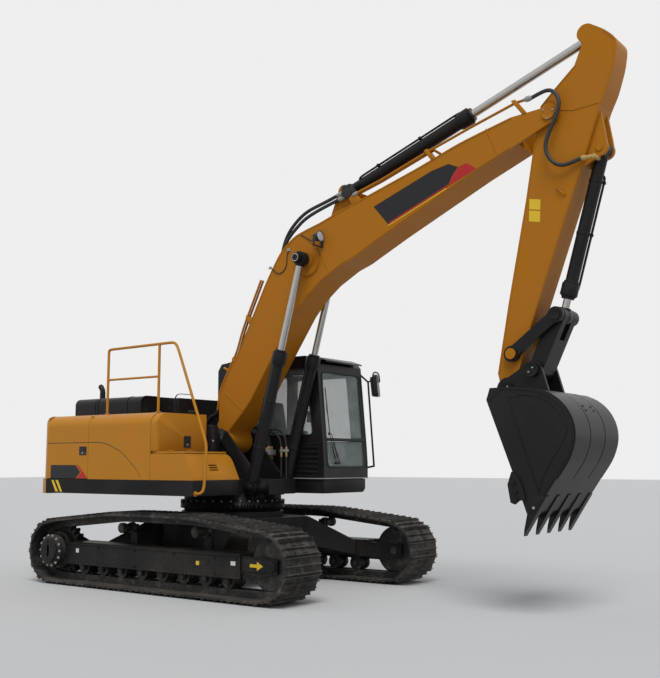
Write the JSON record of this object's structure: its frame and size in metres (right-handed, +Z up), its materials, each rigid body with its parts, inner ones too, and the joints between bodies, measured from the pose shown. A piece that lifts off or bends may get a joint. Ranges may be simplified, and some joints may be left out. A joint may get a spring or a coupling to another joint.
{
  "type": "crawler excavator",
  "caption": "Tracked hydraulic excavator with a slewing upper structure, side cab, curved boom, dipper arm and toothed digging bucket.",
  "frame": {"origin": "on the ground under the slew axis", "axes": "+X ahead along the tracks and the working arm, +Y to the left (the cab's side), +Z up"},
  "size_m": [7.9318, 3.1542, 6.0323],
  "materials": {
    "chassis_black": "satin black paint, dusty",
    "track_steel": "dark worn steel",
    "yellow": "satin yellow paint",
    "arm_yellow": "satin yellow paint",
    "black": "satin black paint",
    "cab_black": "satin black paint",
    "chrome": "polished cylinder rod",
    "glass": "clear tinted pane",
    "seat": "dark woven cover",
    "engine": "plain block"
  },
  "bodies": {
    "chassis": {"car_body": "chassis_black", "track_frames": "chassis_black", "track_right": "track_steel", "track_left": "track_steel", "sprockets": "track_steel", "idlers": "track_steel", "rollers": "track_steel"},
    "house": {"deck": "chassis_black", "counterweight": "yellow", "engine": "engine", "side_body": "yellow", "fuel_tank": "yellow", "toolbox": "yellow", "muffler_cover": "black", "exhaust": "black", "valve_cover": "black", "handrails": "yellow", "cab_shell": "cab_black", "cab_glass": "glass", "seat": "seat", "cab_rail": "black"},
    "pump_door": {"pump_door": "yellow"},
    "left_door": {"left_door": "yellow"},
    "toolbox_lid": {"toolbox_lid": "yellow"},
    "hood": {"hood": "black"},
    "cab_door": {"cab_door": "cab_black", "door_glass": "glass"},
    "boom": {"boom": "arm_yellow"},
    "lift_barrels": {"boom_barrels": "black"},
    "lift_rods": {"boom_rods": "chrome"},
    "arm_barrel": {"arm_barrel": "black"},
    "arm_rod": {"arm_rod": "chrome"},
    "arm": {"arm": "arm_yellow"},
    "curl_barrel": {"curl_barrel": "black"},
    "curl_rod": {"curl_rod": "chrome"},
    "rockers": {"rockers": "black"},
    "bucket_link": {"bucket_link": "black"},
    "bucket": {"bucket": "black"}
  },
  "joints": [
    {"name": "slew", "type": "hinge", "parent": "chassis", "child": "house", "pos_m": [0, 0, 1], "axis": [0, 0, 1], "continuous": true},
    {"name": "hood_open", "type": "hinge", "parent": "house", "child": "hood", "pos_m": [-1.626, 0, 2.364], "axis": [0, -1, 0], "range_deg": [0, 75]},
    {"name": "pump_door_open", "type": "hinge", "parent": "house", "child": "pump_door", "pos_m": [-2.033, -1.347, 1.7], "axis": [0, 0, -1], "range_deg": [0, 90]},
    {"name": "left_door_open", "type": "hinge", "parent": "house", "child": "left_door", "pos_m": [-2.033, 1.347, 1.7], "axis": [0, 0, 1], "range_deg": [0, 90]},
    {"name": "toolbox_lid_open", "type": "hinge", "parent": "house", "child": "toolbox_lid", "pos_m": [0.846, -1, 1.6463], "axis": [0, -1, 0], "range_deg": [0, 80]},
    {"name": "cab_door_open", "type": "hinge", "parent": "house", "child": "cab_door", "pos_m": [-0.127, 1.407, 2], "axis": [0, 0, 1], "range_deg": [0, 165]},
    {"name": "boom_lift", "type": "hinge", "parent": "house", "child": "boom", "pos_m": [-0.023, 0, 1.789], "axis": [0, -1, 0], "range_deg": [-75, 22]},
    {"name": "lift_tilt", "type": "hinge", "parent": "house", "child": "lift_barrels", "pos_m": [0.6, 0, 1.21], "axis": [0, -1, 0], "range_deg": [-75, 22]},
    {"name": "lift_slide", "type": "slide", "parent": "lift_barrels", "child": "lift_rods", "axis": [0.268, 0, 0.9634], "range_m": [-1.02, 0.3]},
    {"name": "arm_swing", "type": "hinge", "parent": "boom", "child": "arm", "pos_m": [4.56053, 0, 5.14364], "axis": [0, 1, 0], "range_deg": [-92, 25]},
    {"name": "arm_tilt", "type": "hinge", "parent": "boom", "child": "arm_barrel", "pos_m": [1.85222, 0, 4.77368], "axis": [0, -1, 0], "range_deg": [-3, 10]},
    {"name": "arm_slide", "type": "slide", "parent": "arm_barrel", "child": "arm_rod", "axis": [0.9376, 0, 0.3476], "range_m": [-1.23, 0.335]},
    {"name": "bucket_curl", "type": "hinge", "parent": "arm", "child": "bucket", "pos_m": [4.02156, 0, 2.26364], "axis": [0, -1, 0], "range_deg": [-150, 10]},
    {"name": "rocker_swing", "type": "hinge", "parent": "arm", "child": "rockers", "pos_m": [4.07168, 0, 2.63475], "axis": [0, -1, 0], "range_deg": [-93, 7]},
    {"name": "link_swing", "type": "hinge", "parent": "bucket", "child": "bucket_link", "pos_m": [4.30941, 0, 2.45024], "axis": [0, -1, 0], "range_deg": [-8, 109]},
    {"name": "curl_tilt", "type": "hinge", "parent": "arm", "child": "curl_barrel", "pos_m": [5.06299, 0, 4.70269], "axis": [0, -1, 0], "range_deg": [-1, 7]},
    {"name": "curl_slide", "type": "slide", "parent": "curl_barrel", "child": "curl_rod", "axis": [-0.2777, 0, -0.9607], "range_m": [-0.065, 0.91]}
  ],
  "couplings": [
    {"joint": "lift_tilt", "follows": "boom_lift", "ratio": 0.9933},
    {"joint": "lift_slide", "follows": "boom_lift", "m_per_rad": 0.7757},
    {"joint": "arm_tilt", "follows": "arm_swing", "ratio": -0.1066},
    {"joint": "arm_slide", "follows": "arm_swing", "m_per_rad": 0.7633},
    {"joint": "rocker_swing", "follows": "bucket_curl", "ratio": 0.615},
    {"joint": "link_swing", "follows": "bucket_curl", "ratio": -0.72},
    {"joint": "curl_tilt", "follows": "bucket_curl", "ratio": -0.04},
    {"joint": "curl_slide", "follows": "bucket_curl", "m_per_rad": -0.345}
  ]
}
